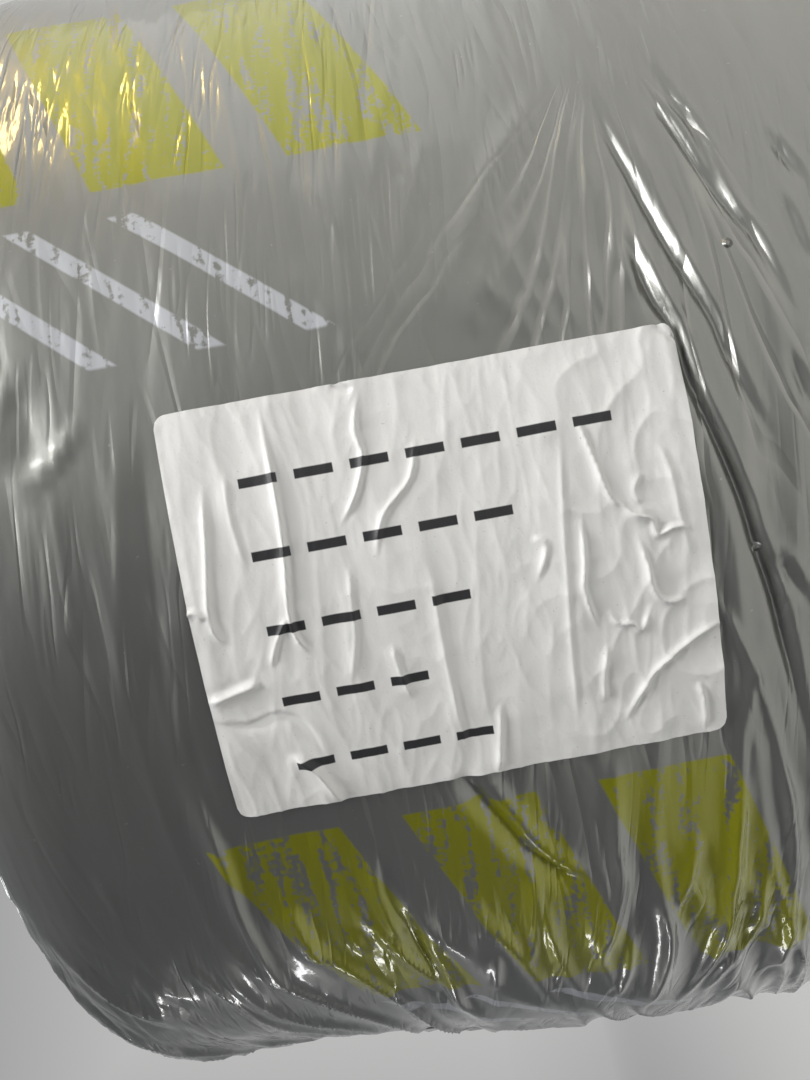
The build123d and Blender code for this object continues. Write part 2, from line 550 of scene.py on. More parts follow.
# %% How wide each fold is and how far it rises, and its lip's rise, in mm
drawn_folds = [
    (fold_beside_label, 1.4, -3.0, 0.7), (fold_above_label, 1.3, -1.6, 0.25),
    (ridge_between, 2.4, 1.2), (ridge_over, 1.5, 1.0), (fold_to_corner, 1.3, -1.4, 0.5),
    (fold_high, 1.4, -1.1, 0.4), (fold_far, 1.4, -1.0, 0.6), (fold_far_low, 1.4, -0.9, 0.5),
    (fold_edge, 1.4, -1.2, 0.5), (fold_branch, 1.5, -1.6, 0.8), (crease_x_long, 1.1, 1.1),
    (crease_x_short, 1.2, 1.2), (fan_long, 3.2, 0.7), (fan_left, 3.0, 0.6), (fan_low, 2.5, 0.7),
    (fan_middle, 2.5, 0.74), (fan_right, 2.5, 0.7), (fan_left_low, 2.5, 0.7),
    (crease_left, 3.0, 0.6), (crease_left_fan, 2.5, 0.5), (crease_far_left, 2.5, 0.5),
    (swell_inner, 4.5, 0.7), (swell_outer, 3.5, 0.6), (hollow_beside_label, 4.0, -0.7),
    (swell_low, 3.5, 0.7), (dent_left, 5.0, -1.2), (crease_dent, 1.2, 0.9), (gather_main, 2.4, 2.4),
    (gather_left, 2.2, 0.6), (gather_left_low, 2.4, 2.2), (gather_loop, 1.7, 1.7),
    (gather_short, 1.6, 1.4), (gather_dark, 2.6, -3.0, 1.6), (gather_under_dark, 2.4, -2.2, 1.4),
    (gather_middle, 1.9, 2.3), (gather_right, 1.9, 2.6), (gather_far, 1.8, 2.4),
    (gather_low, 1.7, 1.8), (gather_triangle, 1.4, 1.3), (gather_bright, 1.5, 1.3),
    (gather_thin, 1.3, 1.1), (gather_cross, 1.5, 1.7), (gather_end, 1.6, 1.8),
    (gather_slanted, 1.6, 1.3), (gather_small, 1.4, 1.0), (fan_thin_one, 1.8, 0.8),
    (fan_thin_two, 1.8, 0.7), (fan_thin_three, 1.8, 0.8), (fan_thin_four, 1.8, 0.6),
    (fan_thin_five, 1.8, 0.7), (fan_thin_six, 1.8, 0.5),
]
print(len(drawn_folds), "folds are drawn on the film")

# %% The sleeve's whole lift, for any places on it: heights and pitches in mm
swell_height = 1.6
undulation_height = 0.4
# Three sizes of ridge: each one's height, its pitch along and around, and its seed
ridge_layers = [(0.6, 21, 210, 3), (0.2, 9, 120, 4), (0.08, 5, 70, 5)]
gather_height = 2.3
gather_lean = 0.25
gathered_after, gathered_over = 70, 50
gathered_until, gathered_fading = 330, 90
pressed_along = 48
pressed_around = -210
pressed_length = 68
pressed_width = 85
pressed_depth = 12
bold_rise = 0.75


def film_lift(along, around):
    """How far the film stands off the smooth sleeve, in mm, at each place."""
    sheet = {"along": along, "around": around, "lift": np.zeros_like(along)}
    # The ridges wander instead of running straight, and are higher where the film is slack.
    wander = along + 7 * soft_noise(along, around, 70, 150, 11)
    wander = wander + 3 * soft_noise(along, around, 30, 60, 12)
    slack = np.clip(0.5 + 0.7 * soft_noise(along, around, 90, 200, 13), 0.1, 1.2)
    slack = slack + 0.6 * ease((along - 180) / 30)
    sheet["lift"] += swell_height * soft_noise(along, around, 120, 170, 1)
    sheet["lift"] += undulation_height * soft_noise(wander, around, 17, 150, 2)
    for height, *pitches in ridge_layers:
        sheet["lift"] += slack * height * ridges(wander, around, *pitches)
    # At the picture's bottom the film is gathered into more and higher ridges, which lean.
    gathered = ease((-around - gathered_after) / gathered_over)
    gathered = gathered * ease((gathered_until + around) / gathered_fading)
    leaning = along + gather_lean * (around + 120) + 5 * soft_noise(along, around, 40, 90, 14)
    sheet["lift"] += gathered * gather_height * ridges(leaning, around, 16, 110, 6)
    for pixels, width, rise, *lip in drawn_folds:
        fold(sheet, pixels, width, rise, *lip, sharp=1.5 if abs(rise) > bold_rise else 1.0)
    # The corner at the picture's lower left, pressed in where the roll was handled
    off_along = (along - pressed_along) / pressed_length
    off_around = (around - pressed_around) / pressed_width
    sheet["lift"] -= pressed_depth * np.exp(-(off_along**2 + off_around**2))
    return sheet["lift"]


print("The film's swells rise", swell_height, "mm, and its gathers", gather_height, "mm")

# %% [markdown]
# On the ends the film has to fit a smaller and smaller circle, so its spare width lies in
# knife pleats that fan out from the opening. Each one rises slowly on one side and drops on
# the other, and no two are quite alike. Between them run finer radial creases. They could
# be modelled one by one, but one formula round the roll draws them all, and its noise makes
# each one different. The lower end stands on the floor, so nothing there may reach below it.

# %% The pleats on the ends
pleat_count = 30
pleat_height = 6.0
pleats_from = 20
slow_side_from = 0.25
slow_side_width = 0.62
steep_side_width = 0.12
end_blend = 45
floor_gap = 0.3


def pleat_lift(inward, around, seed):
    """The pleats' height, inward mm in from where they start."""
    wander = 0.22 * soft_noise(inward, around, 40, 60, seed)
    phase = (around / girth * pleat_count + wander) % 1
    slow_side = ease((phase - slow_side_from) / slow_side_width)
    steep_side = ease((1 - phase) / steep_side_width)
    growth = ease((inward - 30) / 60) ** 0.8
    uneven = 0.8 + 0.45 * soft_noise(inward, around, 300, 55, seed + 1)
    # Fine and coarse radial creases between the pleats
    fine = ridges(around, inward * 3, 7, 260, seed + 2) * (0.4 + 0.8 * growth)
    spread = ridges(around, inward * 3, 16, 300, seed + 3) * ease(inward / 30 + 0.9)
    return growth * pleat_height * uneven * slow_side * steep_side + fine + 1.2 * spread


def stand_up(radius, turned, z):
    """Points in mm from their distance off the axis, their turn round it and their height."""
    return np.stack([radius * np.sin(turned), -radius * np.cos(turned), z], -1)


def sleeve_points(along, around):
    """Points of the sleeve: the smooth section, moved out by the folds of the side or the end."""
    radius, depth, out, lower = section_at(along)
    end_along = top - shelf_along
    on_side = ease((along - shelf_along) / end_blend) * ease((end_along - along) / end_blend)
    upper_end = (1 - on_side) * (along < top / 2)
    lower_end = (1 - on_side) * (along > top / 2)
    lift = on_side * film_lift(along, around)
    lift += upper_end * pleat_lift(shelf_along + pleats_from - along, around, 21)
    lift += lower_end * pleat_lift(along - end_along + pleats_from, around, 31)
    z = np.maximum(top - depth - lift * lower, floor_gap)
    return stand_up(radius + lift * out, around / film_radius, z)


print(f"Each of the {pleat_count} pleats on an end is {girth / pleat_count:.0f} mm wide at the rim")

def new_piece(name, points, faces, material, node):
    """A smooth mesh from points in mm, riding on the roll and standing for a CAD node."""
    mesh = bpy.data.meshes.new(name)
    mesh.from_pydata((points * mm).tolist(), [], faces)
    mesh.polygons.foreach_set("use_smooth", [True] * len(mesh.polygons))
    mesh.materials.append(material)
    piece = bpy.data.objects.new(name, mesh)
    bpy.context.scene.collection.objects.link(piece)
    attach(piece, "root")
    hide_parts(node)
    triangles = sum(len(polygon.vertices) - 2 for polygon in mesh.polygons)
    print(f"{name}: {triangles} triangles, {len(mesh.vertices)} points")
    return piece


# %% [markdown]
# The sleeve is blown polyethylene film, filled with a silver-grey pigment and printed on the
# outside. The skin is glossy, so every crease has a narrow highlight, and the flakes of
# pigment under it give a soft metal sheen. In the shader that is a half-metallic base with a
# broad highlight, under a clear coat with a sharp one. Its patterns could be painted on a
# picture, but noise in the roll's own millimetres stays sharp at any distance, and needs no
# unwrapping.


# %% Where a shading point lies on the roll, and noise stretched to a size in mm
def roll_place(tree):
    """A point's own coordinates, and its place along and around the roll, in mm."""
    own = add(tree, "TexCoord").outputs["Object"]
    x, y, z = add(tree, "SeparateXYZ", [own]).outputs
    front = add(tree, "Math", [y, -1.0], operation="MULTIPLY")
    turned = add(tree, "Math", [x, front], operation="ARCTAN2")
    around = add(tree, "Math", [turned, film_radius], operation="MULTIPLY")
    along = add(tree, "Math", [z, -1 / mm, top], operation="MULTIPLY_ADD")
    return own, along, around


def stretched_noise(tree, own, round_mm, along_mm, detail=3.0, slant=0.0):
    """Noise whose features are round_mm long round the roll and along_mm long down it."""
    rise = add(tree, "VectorMath", [own, (slant, 0, 0)], operation="DOT_PRODUCT")
    shift = add(tree, "CombineXYZ", {"Z": rise.outputs["Value"]})
    slanted = add(tree, "VectorMath", [own, shift], operation="ADD")
    scale = (1 / (round_mm * mm), 1 / (round_mm * mm), 1 / (along_mm * mm))
    place = add(tree, "Mapping", {"Vector": slanted, "Scale": scale})
    return add(tree, "TexNoise", {"Vector": place, "Scale": 1.0, "Detail": detail})


# %% Masks with soft edges
smooth = {"interpolation_type": "SMOOTHSTEP"}


def within(tree, value, half_width, soft=0.4):
    """1 where a value in mm is nearer to 0 than half_width, with a soft edge."""
    distance = add(tree, "Math", [value], operation="ABSOLUTE")
    return add(tree, "MapRange", [distance, half_width + soft, half_width - soft])


def between(tree, value, start, whole, fading, end):
    """Goes from 0 at start to 1 at whole, and from 1 at fading back to 0 at end."""
    up = add(tree, "MapRange", [value, start, whole], **smooth)
    down = add(tree, "MapRange", [value, end, fading], **smooth)
    return add(tree, "Math", [up, down], operation="MULTIPLY")


# %% [markdown]
# The print is a plain repeating pattern: groups of slanted green-yellow bars, and thin pale
# strokes between their rows. Each row is a share of the girth, and each row's groups start
# a little further along. A value that wraps at a pitch gives every mark from one formula.

# %% The print: slanted bars and pale strokes, in mm
print_rows = 6
row_pitch = girth / print_rows
group_pitch = 300
first_row_round = 153
first_group_along = 70
row_stagger = 76
strokes_off_row = 6
bars_shape = {"slant": 0.35, "pitch": 50, "half_height": 40, "half_group": 74, "half_width": 17}
strokes_shape = {"slant": 1.1, "pitch": 26, "half_height": 20, "half_group": 39, "half_width": 3.4}


def marks(tree, in_row, from_group, slant, pitch, half_height, half_group, half_width):
    """A mask for groups of slanted marks, a pitch apart, along the middle of a row."""
    leaning = add(tree, "Math", [in_row, slant, from_group], operation="MULTIPLY_ADD")
    in_group = add(tree, "Math", [leaning, group_pitch / 2, -group_pitch / 2], operation="WRAP")
    in_mark = add(tree, "Math", [in_group, pitch / 2, -pitch / 2], operation="WRAP")
    band = [within(tree, in_row, half_height), within(tree, in_group, half_group)]
    group = add(tree, "Math", band, operation="MULTIPLY")
    return add(tree, "Math", [group, within(tree, in_mark, half_width)], operation="MULTIPLY")


def print_masks(tree, along, around):
    """Masks for the green-yellow bars and for the pale strokes."""
    from_first = add(tree, "Math", [around, first_row_round], operation="SUBTRACT")
    rows_off = add(tree, "Math", [from_first, row_pitch], operation="DIVIDE")
    row = add(tree, "Math", [rows_off], operation="ROUND")
    in_row = add(tree, "Math", [row, -row_pitch, from_first], operation="MULTIPLY_ADD")
    stagger = add(tree, "Math", [row, row_stagger], operation="MULTIPLY")
    from_group = add(tree, "Math", [along, first_group_along], operation="SUBTRACT")
    from_group = add(tree, "Math", [from_group, stagger], operation="ADD")
    beside_row = add(tree, "Math", [in_row, row_pitch / 4 + strokes_off_row], operation="ADD")
    strokes_row = add(tree, "Math", [beside_row, row_pitch / 2, -row_pitch / 2], operation="WRAP")
    bars = marks(tree, in_row, from_group, **bars_shape)
    return bars, marks(tree, strokes_row, from_group, **strokes_shape)


print(f"The print has {print_rows} rows, {row_pitch:.0f} mm apart, with a group each {group_pitch} mm")

# %% The print's wear: rubbed streaks 26 mm long and 3 mm wide, where the silver shows through
film_material, tree = new_material("printed_silver_polyethylene")
own, along, around = roll_place(tree)
bars, strokes = print_masks(tree, along, around)
rubbed = stretched_noise(tree, own, 26, 3.2, 5.0)
specks = stretched_noise(tree, own, 1.6, 1.6, 2.0)
rub = add(tree, "Math", [specks, 0.5, rubbed], operation="MULTIPLY_ADD")
worn = add(tree, "MapRange", [rub, 0.80, 0.90])
whole = add(tree, "Math", [1.0, worn], operation="SUBTRACT")
bar_ink = add(tree, "Math", [bars, whole], operation="MULTIPLY")
stroke_ink = add(tree, "Math", [strokes, whole], operation="MULTIPLY")
print("The print and its wear take", len(tree.nodes), "nodes")

# %% [markdown]
# Between the modelled folds the film has hair-thin creases, which the eye reads as tight
# shrunk film. They are too fine for the mesh, so they are bump. Real ones are a fraction of
# a millimetre wide, and are drawn about 1 mm wide here so that they show. Each family of
# them is noise pulled long round the roll, where a thin line is cut as the noise crosses its
# middle, and a second noise lets the lines come and go.

# %% The creases: each family's slant, length round the roll, spacing along it, and depth
crease_families = [(0.0, 90, 9, 0.8), (0.2, 110, 11, 0.7), (-0.15, 70, 10, 0.6), (0.1, 45, 4, 0.5)]
crease_steepness = 12.0


def grooves(tree, noise, mask):
    """-1 where noise crosses its middle and 0 beside that, but only as far as the mask is 1."""
    off = add(tree, "Math", [noise, 0.5], operation="SUBTRACT")
    off = add(tree, "Math", [off], operation="ABSOLUTE")
    sides = add(tree, "Math", [off, crease_steepness], operation="MULTIPLY")
    level = add(tree, "Math", [sides, 1.0, 0.2], operation="SMOOTH_MIN")
    depth = add(tree, "Math", [level, 1.0], operation="SUBTRACT")
    return add(tree, "Math", [depth, mask], operation="MULTIPLY")


creases = 0.0
for slant, round_mm, along_mm, depth in crease_families:
    field = stretched_noise(tree, own, round_mm, along_mm, 1.0, slant)
    come_and_go = stretched_noise(tree, own, 0.6 * round_mm, 3.1 * along_mm, 0.0, slant)
    patches = add(tree, "MapRange", [come_and_go, 0.42, 0.62], **smooth)
    groove = grooves(tree, field, patches)
    creases = add(tree, "Math", [groove, depth, creases], operation="MULTIPLY_ADD")
print(len(crease_families), "families of creases")

# %% The fan of fine creases over the label, which run out from one point
fan_middle_along, fan_middle_around = on_roll([(585, 25)])[0]
# Turns are in radians and distances in mm.
fan_pitch = 0.085
fan_run = 70
fan_wander = 0.2
fan_middle_turn = -0.12
fan_spread = (0.3, 0.7)
fan_distances = (20, 45, 110, 150)
clouds = stretched_noise(tree, own, 90, 40)
off_along = add(tree, "Math", [along, fan_middle_along], operation="SUBTRACT")
off_around = add(tree, "Math", [fan_middle_around, around], operation="SUBTRACT")
off_fan = add(tree, "CombineXYZ", [off_along, off_around])
fan_distance = add(tree, "VectorMath", [off_fan], operation="LENGTH").outputs["Value"]
straight = add(tree, "Math", [off_along, off_around], operation="ARCTAN2")
wander = add(tree, "Math", [clouds, 0.5], operation="SUBTRACT")
fan_turn = add(tree, "Math", [wander, fan_wander, straight], operation="MULTIPLY_ADD")
# Noise in turn and distance, instead of x and y, gives lines that spread from the point.
turns = add(tree, "Math", [fan_turn, fan_pitch], operation="DIVIDE")
runs = add(tree, "Math", [fan_distance, fan_run], operation="DIVIDE")
fan_place = add(tree, "CombineXYZ", [turns, runs])
fan_lines = add(tree, "TexNoise", {"Vector": fan_place, "Scale": 1.0, "Detail": 0.0})
fan_patches = add(tree, "TexNoise", {"Vector": fan_place, "Scale": 0.45, "Detail": 0.0})
fan_reach = between(tree, fan_distance, *fan_distances)
off_middle = add(tree, "Math", [fan_turn, -fan_middle_turn], operation="ADD")
off_middle = add(tree, "Math", [off_middle], operation="ABSOLUTE")
fan_sides = add(tree, "MapRange", [off_middle, *reversed(fan_spread)], **smooth)
fan_mask = add(tree, "Math", [fan_reach, fan_sides], operation="MULTIPLY")
# The other families are faint where the fan is.
beside_fan = add(tree, "Math", [fan_mask, -0.75, 1.0], operation="MULTIPLY_ADD")
fan_patches = add(tree, "MapRange", [fan_patches, 0.32, 0.52], **smooth)
fan_mask = add(tree, "Math", [fan_mask, fan_patches], operation="MULTIPLY")
fan_groove = grooves(tree, fan_lines, fan_mask)
print(f"The fan runs out from {fan_middle_along:.0f} mm along and {fan_middle_around:.0f} mm round")

# %% The film's colour: clouded silver-grey with specks of dust, a painted highlight along the fan's creases, and the two inks over it
dust = add(tree, "MapRange", [specks, 0.74, 0.80], **smooth)
# The fan's crease lines are painted paler: a painted highlight along each crease.
fan_crease_highlight = add(tree, "Math", [fan_groove, -0.22], operation="MULTIPLY")
dust_and_crease_highlight = add(tree, "Math", [dust, 0.3, fan_crease_highlight], operation="MULTIPLY_ADD")
plain = add(tree, "MixRGB", [clouds, linear("#82827e"), linear("#8f8f8a")])
silver = add(tree, "MixRGB", [dust_and_crease_highlight, plain, linear("#c9c6bc")])
bar_tone = add(tree, "MixRGB", [rubbed, linear("#858700"), linear("#979505")])
with_bars = add(tree, "MixRGB", [bar_ink, silver, bar_tone])
printed = add(tree, "MixRGB", [stroke_ink, with_bars, linear("#b4b6ba")])
# The inks lie over the flakes, so they look less like metal.
ink = add(tree, "Math", [stroke_ink, 1.6, bar_ink], operation="MULTIPLY_ADD")
metal = add(tree, "Math", [ink, -0.3, 0.78], operation="MULTIPLY_ADD")

# %% The film's relief: flat in some places, crinkled in the gathers and by the rim
gathers_around = (-520, -380, -115, -65)
by_rim_along = (190, 140)
by_rim_around = (100, 125, 300, 420)
blotches = stretched_noise(tree, own, 12, 5, 3.0)
relief = add(tree, "Math", [blotches, 0.6, creases], operation="MULTIPLY_ADD")
gathers = between(tree, around, *gathers_around)
by_rim = add(tree, "MapRange", [along, *by_rim_along], **smooth)
above_label = between(tree, around, *by_rim_around)
by_rim = add(tree, "Math", [by_rim, above_label], operation="MULTIPLY")
here_and_there = add(tree, "MapRange", [stretched_noise(tree, own, 90, 70, 1.0), 0.45, 0.8], **smooth)
crinkled = add(tree, "Math", [gathers, by_rim], operation="MAXIMUM")
crinkled = add(tree, "Math", [crinkled, here_and_there], operation="MAXIMUM")
strength = add(tree, "Math", [crinkled, 0.6, 0.7], operation="MULTIPLY_ADD")
relief = add(tree, "Math", [relief, strength], operation="MULTIPLY")
relief = add(tree, "Math", [relief, beside_fan], operation="MULTIPLY")
relief = add(tree, "Math", [fan_groove, 1.3, relief], operation="MULTIPLY_ADD")

# %% Two droplets on the film, domes that catch the light
droplets = [(727, 243), (760, 549)]
droplet_radius = 1.4
droplet_height = 5.0
for middle_along, middle_around in on_roll(droplets):
    off_along = add(tree, "Math", [along, middle_along], operation="SUBTRACT")
    off_around = add(tree, "Math", [around, middle_around], operation="SUBTRACT")
    off_drop = add(tree, "CombineXYZ", [off_along, off_around])
    distance = add(tree, "VectorMath", [off_drop], operation="LENGTH").outputs["Value"]
    dome = add(tree, "MapRange", [distance, droplet_radius, 0.3 * droplet_radius], **smooth)
    relief = add(tree, "Math", [dome, droplet_height, relief], operation="MULTIPLY_ADD")
    print(f"A droplet {middle_along:.0f} mm along and {middle_around:.0f} mm round")

# %% The film's shader: polyethylene's IOR, broad sheen from the flakes and sharp gloss from the skin
skin = add(tree, "Bump", {"Height": relief, "Strength": 1.0, "Distance": 0.24 * mm})
shell = add(tree, "BsdfPrincipled", {
    "Base Color": printed, "Metallic": metal, "Roughness": 0.38, "IOR": 1.51, "Normal": skin,
    "Coat Weight": 0.9, "Coat Roughness": 0.09, "Coat IOR": 1.51, "Coat Normal": skin,
})
add(tree, "OutputMaterial", [shell])
print("The film's material has", len(tree.nodes), "nodes")

# %% Make the sleeve
film_points = sleeve_points(film_along, film_around)
film_faces = lattice_faces()
film = new_piece("film_sleeve_shrunk", film_points, film_faces, film_material, "film_sleeve")

# %% [markdown]
# The label is coated paper. It was stuck on before the film shrank, so it has buckled into
# blisters and long creases, and it follows the film's swells. It could share the film's
# mesh, but paper and film never meet in a smooth surface, and its cut edge shows. So it is
# a fine lattice of its own, a little above the film, with its own creases drawn in the same
# way. Its print is plain: rows of dashes.

# %% The label's lattice, with rounded corners
label_half_along = (label_box[1].z - label_box[0].z) / mm / 2
label_half_around = film_radius * math.asin(label_box[1].x / -label_box[0].y)
label_middle_along = top - label_height / mm
label_corner = 3.0
label_cell = 0.45
label_rows = round(2 * label_half_along / label_cell)
label_columns = round(2 * label_half_around / label_cell)
shares = [np.linspace(-1, 1, count + 1) for count in (label_rows, label_columns)]
share_along, share_around = np.meshgrid(*shares, indexing="ij")
into_corner = np.abs(share_along) * label_half_along - (label_half_along - label_corner)
into_corner = np.maximum(0, into_corner)
cut_off = label_corner - np.sqrt(np.maximum(0, label_corner**2 - into_corner**2))
label_along = (label_middle_along + share_along * label_half_along).ravel()
label_around = (share_around * (label_half_around - cut_off)).ravel()
print(f"The label is {2 * label_half_along:.0f} by {2 * label_half_around:.0f} mm")

# %% The label's creases, as lines of photo pixels
paper_left_long = [(257, 397), (272, 470), (285, 546), (290, 612), (300, 640), (318, 655)]
paper_left_long_branch = [(290, 612), (278, 640), (272, 668)]
paper_upper_middle = [(359, 388), (355, 429), (363, 459), (355, 497), (338, 531)]
paper_beside_upper_middle = [(415, 433), (410, 478), (383, 516), (376, 561)]
paper_left_edge_upper = [(203, 482), (208, 546), (212, 621), (231, 647)]
paper_left_low = [(206, 704), (240, 690), (263, 680)]
paper_left_low_groove = [(206, 722), (250, 726), (280, 715), (305, 726), (330, 760)]
paper_low_corner = [(289, 753), (319, 771), (346, 805)]
paper_low_middle = [(500, 700), (500, 740), (498, 775)]
paper_blister_top = [(571, 410), (590, 455), (607, 495), (622, 510)]
paper_blister_upper_edge = [(607, 484), (628, 512), (650, 519), (656, 534), (672, 526), (692, 527)]
paper_blister_left_edge = [(579, 508), (583, 560), (583, 591), (600, 632)]
paper_blister_inner = [(634, 530), (645, 560), (650, 583), (658, 597), (672, 600), (690, 594)]
paper_blister_lower_edge = [(605, 608), (616, 621), (630, 622), (641, 628), (652, 600)]
paper_right_edge_long = [(728, 618), (706, 628), (688, 640), (654, 670), (636, 698), (622, 725)]
paper_right_low = [(697, 680), (704, 700), (706, 730)]
paper_small_loop = [(530, 536), (545, 546), (536, 583)]
paper_middle_low = [(391, 640), (400, 670), (414, 700)]
paper_under_blister = [(607, 640), (603, 677), (605, 702)]
paper_left_edge_nick = [(184, 616), (196, 612), (208, 620)]
paper_middle_long = [(349, 560), (352, 600), (356, 640), (350, 690)]
paper_left_faint = [(225, 470), (232, 520), (250, 575)]
paper_centre_faint = [(430, 560), (440, 630), (455, 700), (470, 760)]
paper_before_blister = [(558, 420), (562, 520), (570, 640), (580, 740)]
paper_upper_edge_nick = [(330, 384), (342, 389), (354, 391)]
paper_upper_corner_nick = [(652, 322), (664, 334), (676, 342)]
paper_right_faint = [(655, 440), (668, 470), (680, 520), (692, 560)]
paper_right_short = [(640, 470), (632, 490), (640, 505)]

# %% How wide each crease is and how far it rises, in mm
label_creases = [
    (paper_left_long, 0.9, 1.3), (paper_left_long_branch, 0.9, 0.8), (paper_upper_middle, 0.9, 1.0),
    (paper_beside_upper_middle, 0.9, 0.8), (paper_left_edge_upper, 1.4, 1.0),
    (paper_left_low, 1.6, 1.3), (paper_left_low_groove, 1.4, -1.1), (paper_low_corner, 1.7, 1.6),
    (paper_low_middle, 1.2, 1.0), (paper_blister_top, 0.9, 1.1),
    (paper_blister_upper_edge, 0.9, 1.5), (paper_blister_left_edge, 0.8, 1.3),
    (paper_blister_inner, 0.9, 1.4), (paper_blister_lower_edge, 0.9, 1.3),
    (paper_right_edge_long, 1.0, 1.2), (paper_right_low, 0.9, 1.2), (paper_small_loop, 1.0, 0.8),
    (paper_middle_low, 1.2, 0.8), (paper_under_blister, 0.9, 0.9), (paper_left_edge_nick, 1.1, 0.9),
    (paper_middle_long, 1.2, 0.7), (paper_left_faint, 1.2, 0.5), (paper_centre_faint, 1.6, 0.7),
    (paper_before_blister, 1.2, 0.6), (paper_upper_edge_nick, 0.8, -1.4),
    (paper_upper_corner_nick, 0.9, -1.2), (paper_right_faint, 1.5, 0.7),
    (paper_right_short, 1.1, 0.7),
]
print(len(label_creases), "creases are drawn on the label")

# %% [markdown]
# Coated paper is fibre under a thin pressed coat of clay. It looks even and semi-matt: a
# broad soft highlight shows each crease, a faint mottle keeps the white from being flat, and
# a few specks of dirt stick to it. Real fibres are too fine to show, so the tooth that they
# give is drawn at 0.8 mm.

# %% The rows of dashes: each row's place round the roll in mm, and how many dashes it has
dash_rows = [(31, 7), (14, 5), (-3.5, 4), (-21, 3), (-38, 4)]
dash_pitch = 13.0
dash_length = 9.0
dash_thickness = 2.3
dash_margin = 15
dash_edge = 0.1
row_edge = 0.12
first_dash = label_middle_along - label_half_along + dash_margin + dash_pitch / 2

paper_material, tree = new_material("coated_label_paper")
own, along, around = roll_place(tree)
from_first = add(tree, "Math", [along, first_dash], operation="SUBTRACT")
in_dash = add(tree, "Math", [from_first, dash_pitch / 2, -dash_pitch / 2], operation="WRAP")
dash = within(tree, in_dash, dash_length / 2, dash_edge)
dashes = 0.0
for row_round, count in dash_rows:
    off_row = add(tree, "Math", [around, row_round], operation="SUBTRACT")
    off_middle = add(tree, "Math", [from_first, (count - 1) * dash_pitch / 2], operation="SUBTRACT")
    row = within(tree, off_row, dash_thickness / 2, row_edge)
    in_row = within(tree, off_middle, count * dash_pitch / 2, dash_edge)
    row = add(tree, "Math", [row, in_row], operation="MULTIPLY")
    row = add(tree, "Math", [row, dash], operation="MULTIPLY")
    dashes = add(tree, "Math", [dashes, row], operation="ADD")
print(sum(count for _, count in dash_rows), "dashes in", len(dash_rows), "rows")

# %% The paper's colour, specks and tooth
mottle = stretched_noise(tree, own, 18, 18)
fibre = stretched_noise(tree, own, 0.8, 0.8, 4.0)
paper = add(tree, "MixRGB", [mottle, linear("#dcdad6"), linear("#e5e4e1")])
soil = add(tree, "MapRange", [fibre, 0.70, 0.74])
soil = add(tree, "Math", [soil, 0.35], operation="MULTIPLY")
soiled = add(tree, "MixRGB", [soil, paper, linear("#8a8378")])
inked = add(tree, "MixRGB", [dashes, soiled, linear("#2b2b2d")])
tooth = add(tree, "Bump", {"Height": fibre, "Strength": 0.25, "Distance": 0.2 * mm})
coated = add(tree, "BsdfPrincipled", {
    "Base Color": inked, "Roughness": 0.5, "IOR": 1.5, "Normal": tooth,
})
add(tree, "OutputMaterial", [coated])
print("The paper's material has", len(tree.nodes), "nodes")

# %% Make the label: its own ridges and creases, over the film's lift
paper_over_film = 0.7
paper_gap = 0.35
crumpled_after = 12
crumpled_over = 25
crease_width = 0.75
crease_rise = 1.25
crease_lip = -0.25

film_under_label = film_lift(label_along, label_around)
paper_lift = film_under_label + paper_over_film
paper_wander = label_along + 5 * soft_noise(label_along, label_around, 25, 40, 61)
paper_lift += 0.28 * ridges(paper_wander, label_around, 11, 42, 62)
paper_lift += 0.15 * ridges(paper_wander, label_around, 5, 16, 63)
paper_lift += 0.25 * soft_noise(label_along, label_around, 9, 14, 64)
# The half towards the roll's middle is crumpled more.
crumpled = ease((label_along - label_middle_along - crumpled_after) / crumpled_over)
paper_lift += 0.45 * crumpled * ridges(paper_wander, label_around, 13, 15, 65)
paper_lift += 0.08 * ridges(paper_wander, label_around, 6, 8, 66)
paper_sheet = {"along": label_along, "around": label_around, "lift": paper_lift}
for pixels, width, rise in label_creases:
    fold(paper_sheet, pixels, crease_width * width, crease_rise * rise, crease_lip * rise, sharp=1.0)
# No point of the paper goes into the film.
label_radius = film_radius + np.maximum(paper_lift, film_under_label + paper_gap)
label_points = stand_up(label_radius, label_around / film_radius, top - label_along)
label_cells = np.mgrid[0:label_rows, 0:label_columns]
label_faces = quads(*label_cells, lambda row, column: row * (label_columns + 1) + column).tolist()
label = new_piece("paper_label", label_points, label_faces, paper_material, "label")

# %% [markdown]
# The blanket is rock wool felt, rolled from one end, so its edge shows as a spiral. Only the
# middle of each end shows, inside the sleeve's opening, with the bore that the winding
# leaves. A long sheet could be bent along a spiral curve, but nearly all of it would be
# hidden. So each end is a disc of points, lowered into a deep narrow gap between crowned
# turns and made rough at two scales, because the felt is torn and fibrous. The side is
# hidden by the film, and stays plain and a little smaller, so that the film's grooves have
# room.

# %% The wool's section, from the middle of the bore over the end to the middle of the side
bore_radius = 23
turn_width = 36
wool_side_radius = 222
wool_shown_radius = 132
wool_columns = 360
wool_under_film = 1.1
wool_draw_in = 10
wool_slope_width = 52
wool_hidden_sunk = 1.5

shown_radii = np.linspace(bore_radius, wool_shown_radius, 68)
hidden_radii = np.linspace(140, wool_side_radius - 20, 8)
wool_end_radii = np.concatenate([shown_radii, hidden_radii])
drawn_in = wool_draw_in * np.clip((shelf_radius - wool_end_radii) / wool_slope_width, 0, 1)
end_depth = wool_under_film + drawn_in + wool_hidden_sunk * (wool_end_radii > wool_shown_radius)
bore_depths = [top / 2, 180, 100, *np.linspace(8, 60, 14)[::-1]]
wool_profile = [(bore_radius, depth) for depth in bore_depths]
first_end_row = len(wool_profile)
wool_profile += zip(wool_end_radii, end_depth)
last_end_row = len(wool_profile)
wool_profile += [(wool_side_radius, 24), (wool_side_radius, top / 2)]
wool_profile = np.array(wool_profile)
half_rows = len(wool_profile)
print("The wool's section has", half_rows, "points a half")


